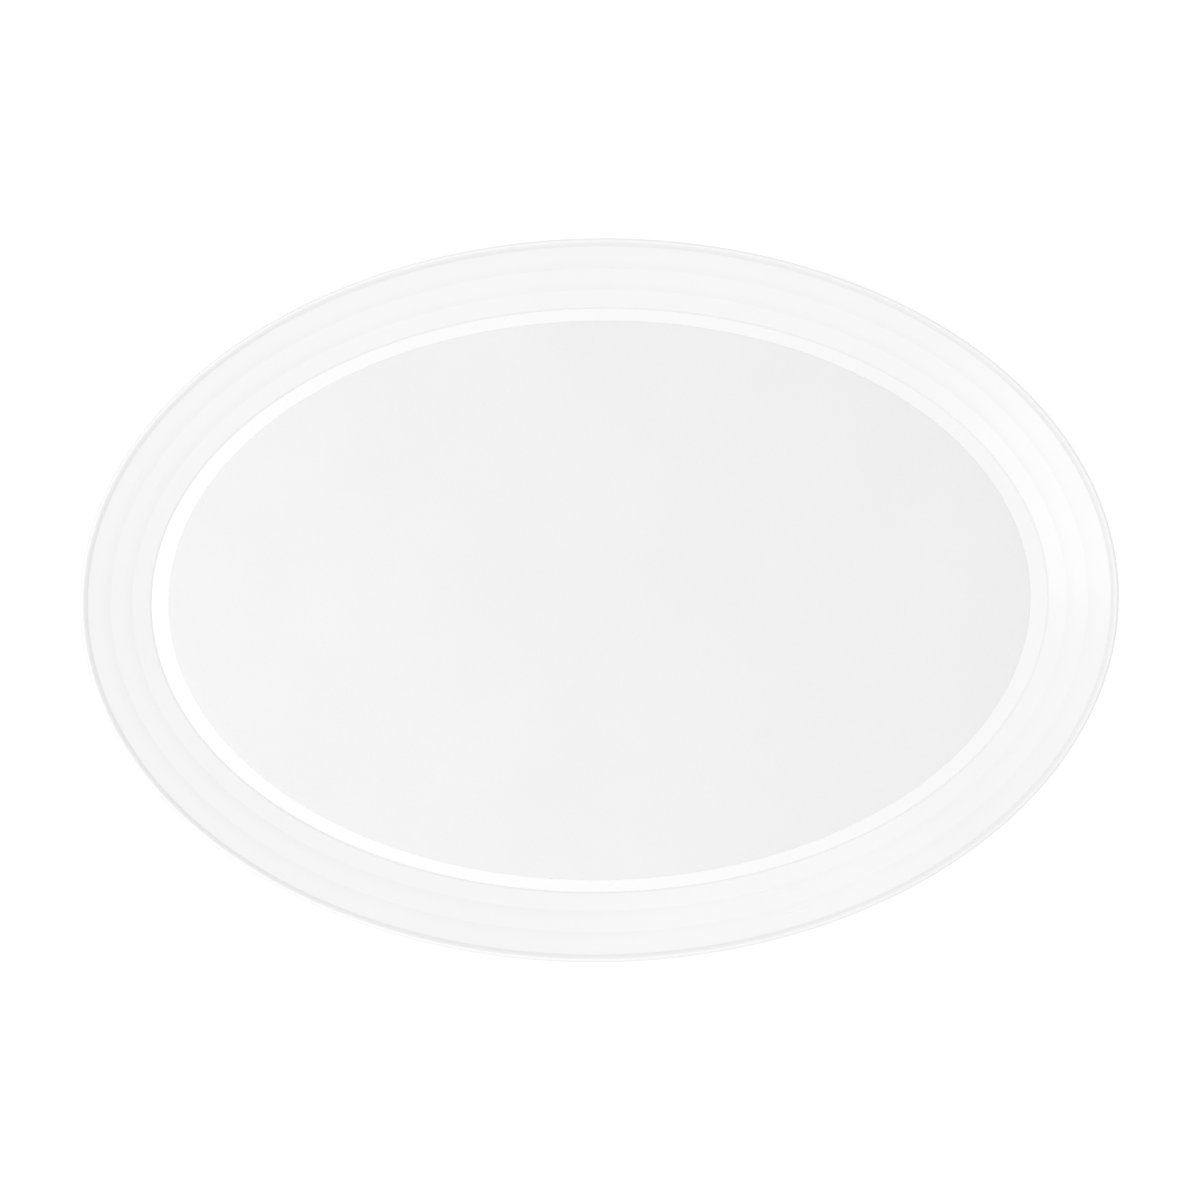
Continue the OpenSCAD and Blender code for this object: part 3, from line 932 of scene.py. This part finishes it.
@dataclass(frozen=True)
class Swivel:
    """The plate that carries the tray, with its bush."""

    wall: float = 2.5  # thickness of the outer wall
    deck: float = 2.5  # thickness of the deck
    race_w: float = 12.0  # width of a race ring
    race_sunk: float = 0.8  # how far the ring is let into the deck
    hub_r: float = 11.0  # radius of the hub round the bush
    bush_r: float = 6.0  # radius of the bush
    flange_h: float = 1.4  # depth of its flange's seat
    rib_h: float = 3.1  # height of the ribs on the deck
    rib_w: float = 1.8  # width of a rib
    rib_count: int = 12  # how many ribs stand on the deck
    screw_count: int = 6  # how many screw bosses stand on it
    screw_ring: float = 60.0  # radius that they stand at
    boss_r: float = 4.5  # radius of a boss
    pilot_r: float = 1.55  # radius of the hole in it
    body: str = "tray"

    @property
    def box(self) -> Extent:
        """Extent of the plate."""
        return Extent.of("swivel_plate")

    @property
    def under(self) -> float:
        """Height of the deck's underside."""
        return Extent.of("upper_race").top - self.race_sunk

    def outline(self) -> np.ndarray:
        """Half section of the plate: hub, deck with the race's seat, skirt, wall, bush's seat."""
        box, race, bush = self.box, Extent.of("upper_race"), Extent.of("hub_bush")
        under, top, out = self.under, self.under + self.deck, box.half_x
        wall_in = out - self.wall
        race_in, race_out, race_top = race.half_y - self.race_w - PLAY, race.half_y + PLAY, race.top + PLAY
        bush_r, flange_r, flange_z = self.bush_r + PLAY, bush.half_x + PLAY, bush.top - self.flange_h
        return rounded([
            (bush_r, bush.bottom, 0.3), (self.hub_r, bush.bottom, 0.5), (self.hub_r, under, 0.8),
            (race_in, under, 0.2), (race_in, race_top, 0), (race_out, race_top, 0),
            (race_out, under, 0.2), (wall_in, under, 0.8), (wall_in, box.bottom, 0.3),
            (out, box.bottom, 0.7), (out, box.top, 0.35), (wall_in, box.top, 0.35),
            (wall_in, top, 0.8), (flange_r, top, 0.25), (flange_r, flange_z, 0), (bush_r, flange_z, 0.1),
        ])

    def build_plate(self) -> Piece:
        """The plate, with ribs and screw bosses on its deck and a pilot hole in each boss."""
        top, wall_in = self.under + self.deck, self.box.half_x - self.wall
        piece = mesh_object("swivel_plate_moulding", spin(self.outline(), 192))
        one = rib(0, wall_in - self.hub_r + 0.8, top, top + self.rib_h, self.rib_w)
        combine(piece, one.around(self.rib_count, self.hub_r, 180 / self.rib_count), Join.ADD)
        post = boss(self.boss_r, top, self.box.top)
        combine(piece, post.around(self.screw_count, self.screw_ring), Join.ADD)
        tip, mouth = Extent.of("tray_screws").bottom, self.box.top
        pilot = spin(np.array([
            (0, tip - 0.3), (self.pilot_r, tip - 0.1),
            (self.pilot_r, mouth - 0.5), (self.pilot_r + 0.6, mouth + 0.1), (0, mouth + 0.1),
        ]), 36, loop=False)
        combine(piece, pilot.around(self.screw_count, self.screw_ring), Join.CUT)
        return piece

    def build_bush(self) -> Piece:
        """The flanged bush, with a chamfered bore."""
        box, bore = Extent.of("hub_bush"), 4.05
        flange, step = box.half_x, box.top - self.flange_h + 0.01
        return turned("flanged_bush", [
            (bore, box.bottom, 0.35), (self.bush_r, box.bottom, 0.4), (self.bush_r, step, 0.15),
            (flange, step, 0.2), (flange, box.top, 0.35), (bore, box.top, 0.35),
        ])

    def build(self) -> None:
        """Builds and dresses the plate and the bush."""
        place(self.build_plate(), self.body, "swivel_plate", MOULDED_WHITE)
        place(self.build_bush(), self.body, "hub_bush", NATURAL_ACETAL)


# ----- Ball race -----


class Side(Enum):
    """Which way a race ring's groove looks."""

    UP = 1
    DOWN = -1


@dataclass(frozen=True)
class BallRace:
    """Two grooved rings with a caged row of balls between them."""

    track_r: float = 76.0  # radius of the circle that the ball centres follow
    ring_in: float = 70.0  # inner radius of a ring
    ring_out: float = 82.0  # outer radius of a ring
    groove_r: float = 3.3  # radius of the groove's section
    groove_depth: float = 0.9  # depth of the groove
    cage_half_w: float = 5.5  # half the cage's width
    cage_half_t: float = 1.5  # half its thickness
    pocket_r: float = 3.12  # radius of a ball's pocket
    ball_count: int = 20  # how many balls there are

    def build_ring(self, name: str, node: str, side: Side) -> Piece:
        """One race ring: a flat ring with softened edges and a round groove.

        The groove is an arc about a centre that stands its radius less its depth off the face.

        Args:
            name: the piece's name.
            node: the frame node that it stands for.
            side: which way the groove looks.

        Returns:
            The ring.
        """
        box = Extent.of(node)
        face, back = (box.top, box.bottom) if side is Side.UP else (box.bottom, box.top)
        steps = 5
        edge = rounded([
            (self.ring_in, back, 0.25), (self.ring_in, face, 0.25),
            (self.ring_out, face, 0.25), (self.ring_out, back, 0.25),
        ], steps=steps)
        off = self.groove_r - self.groove_depth
        reach = math.acos(off / self.groove_r)
        swing = np.linspace(-reach, reach, 19)
        groove = np.stack([
            self.track_r + self.groove_r * np.sin(swing),
            face + side.value * (off - self.groove_r * np.cos(swing)),
        ], axis=-1)
        first = 2 * (steps + 1)
        return mesh_object(name, spin(np.concatenate([edge[:first], groove, edge[first:]]), 240))

    def ball(self, radius: float, height: float) -> Shape:
        """A sphere on the axis: its outline is half a circle."""
        swing = np.linspace(0, math.pi, 25)
        outline = np.stack([radius * np.sin(swing), height - radius * np.cos(swing)], axis=-1)
        return spin(outline, 48, loop=False)

    def build_cage(self) -> Piece:
        """The cage: a flat ring with a round pocket for each ball and a shallow relief between them."""
        box = Extent.of("ball_cage")
        low, high, wide = box.bottom, box.top, self.cage_half_w
        inner, outer = self.track_r - wide, self.track_r + wide
        corners = [(inner, low, 0.5), (outer, low, 0.5), (outer, high, 0.5), (inner, high, 0.5)]
        piece = turned("cage_ring", corners, 240)
        pocket = self.ball(self.pocket_r, (low + high) / 2)
        combine(piece, pocket.around(self.ball_count, self.track_r), Join.CUT)
        relief = merged([plug(3.4, high - 0.5, high + 1), plug(3.4, low - 1, low + 0.5)])
        between = relief.around(self.ball_count, self.track_r, 180 / self.ball_count)
        combine(piece, between, Join.CUT)
        return piece

    def build(self) -> None:
        """Builds and dresses the rings, the cage and every ball."""
        place(self.build_ring("race_ring_upper", "upper_race", Side.DOWN), "tray", "upper_race", RACE_STEEL)
        place(self.build_ring("race_ring_lower", "lower_race", Side.UP), "base", "lower_race", RACE_STEEL)
        place(self.build_cage(), "cage", "ball_cage", CAGE_NYLON)
        for i in range(self.ball_count):
            box = Extent.of(f"ball_{i + 1}")
            height = (box.bottom + box.top) / 2
            ball = self.ball(box.top - height, height).placed((self.track_r, 0, 0), 360 * i / self.ball_count)
            place(mesh_object(f"steel_ball_{i + 1}", ball), "cage", f"ball_{i + 1}", BALL_STEEL)


# ----- Base -----


@dataclass(frozen=True)
class Base:
    """The round base and its push-in feet."""

    wall: float = 2.5  # thickness of the outer wall
    deck: float = 2.5  # thickness of the deck
    edge_r: float = 2.6  # radius of the deck's outer edge
    race_w: float = 12.0  # width of a race ring
    race_proud: float = 0.8  # how far the ring stands above the deck
    pad_t: float = 1.6  # how far the pad under the race hangs below the deck
    dust_r: float = 88.0  # outer radius of the dust wall
    dust_w: float = 2.0  # its thickness
    hub_r: float = 13.0  # radius of the boss round the bolt
    rib_h: float = 2.5  # height of the ribs under the deck
    rib_w: float = 1.6  # width of a rib
    rib_count: int = 18  # how many ribs there are
    foot_count: int = 6  # how many feet there are
    foot_ring: float = 94.0  # radius that they stand at
    foot_boss: float = 8.5  # radius of the boss over each foot
    stem_r: float = 2.2  # radius of a foot's stem
    head_af: float = 13.3  # width of the bolt's pocket across its flats
    body: str = "base"

    @property
    def box(self) -> Extent:
        """Extent of the base moulding."""
        return Extent.of("base_shell")

    @property
    def top(self) -> float:
        """Height of the deck."""
        return Extent.of("lower_race").top - self.race_proud

    @property
    def boss_z(self) -> float:
        """Height of the face that a foot's pad meets."""
        return self.box.bottom + 0.2

    def outline(self) -> np.ndarray:
        """Half section of the base: hub, deck, race pad, wall, edge, dust wall, race's seat."""
        top, under, out, race = self.top, self.top - self.deck, self.box.half_x, Extent.of("lower_race")
        wall_in, hole = out - self.wall, 4.05
        race_in, race_out = race.half_y - self.race_w - PLAY, race.half_y + PLAY
        seat, pad_in, pad_out, pad_z = race.bottom - PLAY, race_in - 2, race_out + 2, under - self.pad_t
        dust_in, dust_top = self.dust_r - self.dust_w, self.box.top
        return rounded([
            (hole, self.boss_z, 0.2), (self.hub_r, self.boss_z, 0.5), (self.hub_r, under, 0.8),
            (pad_in, under, 0.3), (pad_in, pad_z, 0.4), (pad_out, pad_z, 0.4), (pad_out, under, 0.3),
            (wall_in, under, 0.8), (wall_in, self.box.bottom, 0.4), (out, self.box.bottom, 0.5),
            (out, top, self.edge_r), (self.dust_r, top, 0.5), (self.dust_r, dust_top, 0.5),
            (dust_in, dust_top, 0.5), (dust_in, top, 0.4),
            (race_out, top, 0.2), (race_out, seat, 0), (race_in, seat, 0), (race_in, top, 0.2),
            (hole, top, 0.3),
        ], steps=6)

    def marks(self) -> Shape:
        """Shallow round marks that the ejector pins leave between the ribs."""
        under = self.top - self.deck
        disc = plug(2.6, under - 1, under + 0.12, 32)
        step = 180 / self.rib_count
        return merged([disc.around(self.rib_count, radius, step) for radius in (34, 58)])

    def build_moulding(self) -> Piece:
        """The base moulding, with ribs and foot bosses under its deck."""
        under, out = self.top - self.deck, self.box.half_x
        piece = mesh_object("base_moulding", spin(self.outline(), 240))
        one = rib(0, out - self.hub_r - 1, under, under - self.rib_h, self.rib_w)
        combine(piece, one.around(self.rib_count, self.hub_r - 0.5), Join.ADD)
        post = boss(self.foot_boss, under, self.boss_z)
        combine(piece, post.around(self.foot_count, self.foot_ring), Join.ADD)
        combine(piece, self.marks(), Join.CUT)
        turn = full_turn(48)
        flats = hexagon(self.head_af, turn)
        roof = Extent.of("pivot_bolt").bottom + 4.05
        rows = [(0, 0), (flats + 1.2, 1.0), (flats, self.boss_z + 0.5), (flats, roof), (0, roof)]
        pocket = skin(stacked(turn, rows))
        combine(piece, pocket, Join.CUT, 30)
        stem_hole = plug(self.stem_r + PLAY, 0, Extent.of("foot_1").top + 0.2, 36)
        combine(piece, stem_hole.around(self.foot_count, self.foot_ring), Join.CUT)
        return piece

    def foot(self) -> Shape:
        """A foot on the axis: a pad with two grip grooves underneath, and a stem with a barb."""
        box = Extent.of("foot_1")
        wide, pad_top = 8.2, self.boss_z - 0.01
        outline = rounded([
            (0, 0, 0), (2.4, 0, 0.1), (2.6, 0.35, 0.1), (3.4, 0.35, 0.1), (3.6, 0, 0.1),
            (4.8, 0, 0.1), (5.0, 0.35, 0.1), (5.8, 0.35, 0.1), (6.0, 0, 0.1),
            (wide - 1.2, 0, 0.5), (wide - 0.3, 0.8, 0.5), (wide, pad_top, 0.25), (self.stem_r, pad_top, 0.15),
            (self.stem_r - 0.2, pad_top + 1.6, 0.3), (self.stem_r, pad_top + 2.4, 0.3),
            (self.stem_r - 0.6, box.top, 0.4), (0, box.top, 0),
        ], loop=False)
        return spin(outline, 64, loop=False)

    def build(self) -> None:
        """Builds and dresses the base and every foot."""
        place(self.build_moulding(), self.body, "base_shell", MOULDED_WHITE)
        for i in range(self.foot_count):
            shape = self.foot().placed((self.foot_ring, 0, 0), 360 * i / self.foot_count)
            place(mesh_object(f"pad_foot_{i + 1}", shape), self.body, f"foot_{i + 1}", FOOT_RUBBER)


# ----- Pivot -----


@dataclass(frozen=True)
class Pivot:
    """The bolt that holds everything together, with its spring, washer and nut."""

    head_af: float = 13.0  # width of the bolt's head across its flats
    head_h: float = 4.0  # height of the head
    shoulder_r: float = 4.0  # radius of the shoulder
    thread_r: float = 3.0  # radius of the thread's crest
    thread_deep: float = 0.6  # depth of the thread
    pitch: float = 1.0  # rise of the thread in one turn
    nut_af: float = 10.0  # width of the nut across its flats
    collar_h: float = 0.8  # height of the nut's collar
    chamfer: float = 1.6  # run of each chamfered corner, as a rise in radius for each millimetre of height
    body: str = "base"

    def chamfered(self, across: float, start: float, end: float, turn: np.ndarray) -> np.ndarray:
        """Rows of a hexagon whose corners are turned off at start.

        The radius is the smaller of the hexagon's and a cone's that widens away from start.

        Args:
            across: width across the flats.
            start: height of the turned face.
            end: height at which the corners are whole.
            turn: angles of the columns.

        Returns:
            Grid of points, from start to end.
        """
        height = np.linspace(start, end, 9)[:, None]
        cone = across / 2 * 0.97 + self.chamfer * np.abs(height - start)
        return swept(np.minimum(hexagon(across, turn), cone), height, turn)

    def build_bolt(self) -> Piece:
        """The shoulder bolt: hexagon head, ground shoulder, undercut and thread."""
        box, turn = Extent.of("pivot_bolt"), full_turn(96)
        head_top = box.bottom + self.head_h
        shoulder_top = Extent.of("thrust_washer").bottom - 0.01
        flats, neck = hexagon(self.head_af, turn), self.thread_r - self.thread_deep
        low, high = shoulder_top + 0.5, box.top - 0.5
        rows = [
            (0, box.bottom + 0.25), (3.6, box.bottom + 0.25), (4.1, box.bottom),
            self.chamfered(self.head_af, box.bottom, box.bottom + 1, turn),
            (flats, head_top - 0.15), (flats - 0.15, head_top),
            (self.shoulder_r + 0.35, head_top), (self.shoulder_r, head_top + 0.35),
            (self.shoulder_r, shoulder_top - 0.3), (self.shoulder_r - 0.3, shoulder_top), (neck, shoulder_top),
            thread(self.thread_r, self.thread_deep, self.pitch, low, high, turn),
            (neck, box.top), (0, box.top),
        ]
        return mesh_object("shoulder_bolt", skin(stacked(turn, rows)), 35)

    def build_nut(self) -> Piece:
        """The lock nut: chamfered hexagon, collar that grips the thread, and bore."""
        box, turn = Extent.of("lock_nut"), full_turn(96)
        shoulder, bore = box.top - self.collar_h, self.thread_r + PLAY
        collar = self.nut_af / 2 - 0.4
        rows = [
            (bore + 0.3, box.bottom),
            self.chamfered(self.nut_af, box.bottom, box.bottom + 0.6, turn),
            self.chamfered(self.nut_af, shoulder, shoulder - 0.6, turn)[::-1],
            (collar + 0.1, shoulder), (collar, shoulder + 0.1), (collar, box.top - 0.25),
            (collar - 0.25, box.top), (bore + 0.3, box.top), (bore, box.top - 0.3), (bore, box.bottom + 0.3),
        ]
        return mesh_object("collar_nut", skin(stacked(turn, rows), loop=True), 35)

    def build_washer(self) -> Piece:
        """The flat thrust washer."""
        box = Extent.of("thrust_washer")
        bore, edge = self.thread_r + PLAY, box.half_x
        return turned("flat_washer", [
            (bore, box.bottom, 0.1), (edge, box.bottom, 0.2), (edge, box.top, 0.3), (bore, box.top, 0.2),
        ])

    def build_spring(self) -> Piece:
        """The dished spring washer, higher at its bore than at its edge."""
        box = Extent.of("preload_spring")
        bore, thick = self.shoulder_r + 0.3, 0.5
        return turned("disc_spring", [
            (bore, box.top - thick, 0.12), (box.half_x, box.bottom, 0.12),
            (box.half_x, box.bottom + thick, 0.12), (bore, box.top, 0.12),
        ])

    def build(self) -> None:
        """Builds and dresses every piece of the pivot."""
        place(self.build_bolt(), self.body, "pivot_bolt", ZINC_STEEL)
        place(self.build_spring(), self.body, "preload_spring", SPRING_STEEL)
        place(self.build_washer(), self.body, "thrust_washer", ZINC_STEEL)
        place(self.build_nut(), self.body, "lock_nut", ZINC_STEEL)


# ----- Scene -----


@dataclass(frozen=True)
class Studio:
    """Floor, lights and camera."""

    floor_half: float = 6.0  # half the floor's side, in metres
    lens: float = 135.0  # focal length of the camera, in millimetres
    sensor: float = 36.0  # width of its sensor, in millimetres
    view_w: float = 483.6  # width of the picture in the plane of the lip, in millimetres
    roll: float = -0.8  # turn of the camera about its line of sight, in degrees
    nudge: tuple[float, float] = (0.24, 0.14)  # where the camera stands beside the axis, in millimetres
    sight: float = 50.0  # how far the camera sees, in metres
    room: tuple[float, float] = (0.5, 1.22)  # brightness of the room at the horizon and straight up

    def build_floor(self) -> None:
        """Plain pale paper under the object."""
        half = self.floor_half
        corners = [(-half, -half, 0), (half, -half, 0), (half, half, 0), (-half, half, 0)]
        mesh = bpy.data.meshes.new("floor")
        mesh.from_pydata(corners, [], [(0, 1, 2, 3)])
        floor = bpy.data.objects.new("floor", mesh)
        bpy.context.scene.collection.objects.link(floor)
        mesh.materials.append(PAPER.material())

    def light(self, name: str, spot: Sequence[float], size: float, power: float) -> None:
        """A square soft box that faces the object.

        Args:
            name: its name.
            spot: where it hangs, in metres.
            size: its side, in metres.
            power: its power, in watts.
        """
        data = bpy.data.lights.new(name, "AREA")
        data.shape = "SQUARE"
        data.size = size
        data.energy = power
        lamp = bpy.data.objects.new(name, data)
        bpy.context.scene.collection.objects.link(lamp)
        lamp.location = spot
        lamp.rotation_euler = Vector(spot).to_track_quat("Z", "Y").to_euler()
        lamp.visible_camera = False

    def build_lights(self) -> None:
        """A soft box overhead to the left, a weak one far behind, and a room brightest at its ceiling."""
        self.light("overhead", (-0.52, -0.27, 0.85), 0.7, 2.4)
        self.light("fill", (-0.4, 1.6, 1.2), 0.7, 1.1)
        world = bpy.data.worlds.new("room")
        world.use_nodes = True
        tree = world.node_tree
        apart = tree.nodes.new("ShaderNodeSeparateXYZ")
        rise = tree.nodes.new("ShaderNodeMapRange")
        rise.inputs["To Min"].default_value, rise.inputs["To Max"].default_value = self.room
        tree.links.new(tree.nodes.new("ShaderNodeTexCoord").outputs["Generated"], apart.inputs[0])
        tree.links.new(apart.outputs["Z"], rise.inputs["Value"])
        background = tree.nodes["Background"]
        background.inputs["Color"].default_value = (1, 1, 1, 1)
        tree.links.new(rise.outputs["Result"], background.inputs["Strength"])
        bpy.context.scene.world = world
        bpy.context.scene.view_settings.view_transform = "Standard"

    def build_camera(self) -> None:
        """A long lens that looks straight down on the tray."""
        data = bpy.data.cameras.new("camera")
        data.lens = self.lens
        data.sensor_width = self.sensor
        data.clip_end = self.sight
        camera = bpy.data.objects.new("camera", data)
        bpy.context.scene.collection.objects.link(camera)
        distance = self.lens / self.sensor * self.view_w
        lip = Extent.of("tray_shell").top
        camera.location = Vector((*self.nudge, lip + distance)) * MM
        camera.rotation_euler = Euler((0, 0, math.radians(self.roll)))
        bpy.context.scene.camera = camera

    def build(self) -> None:
        """Sets the whole stage."""
        self.build_floor()
        self.build_lights()
        self.build_camera()


def main() -> None:
    """Builds the scene, piece by piece."""
    logging.basicConfig(level=logging.INFO, format="%(message)s")
    for part in (Studio(), Tray(), Swivel(), BallRace(), Base(), Pivot()):
        part.build()


if __name__ == "__main__":
    main()
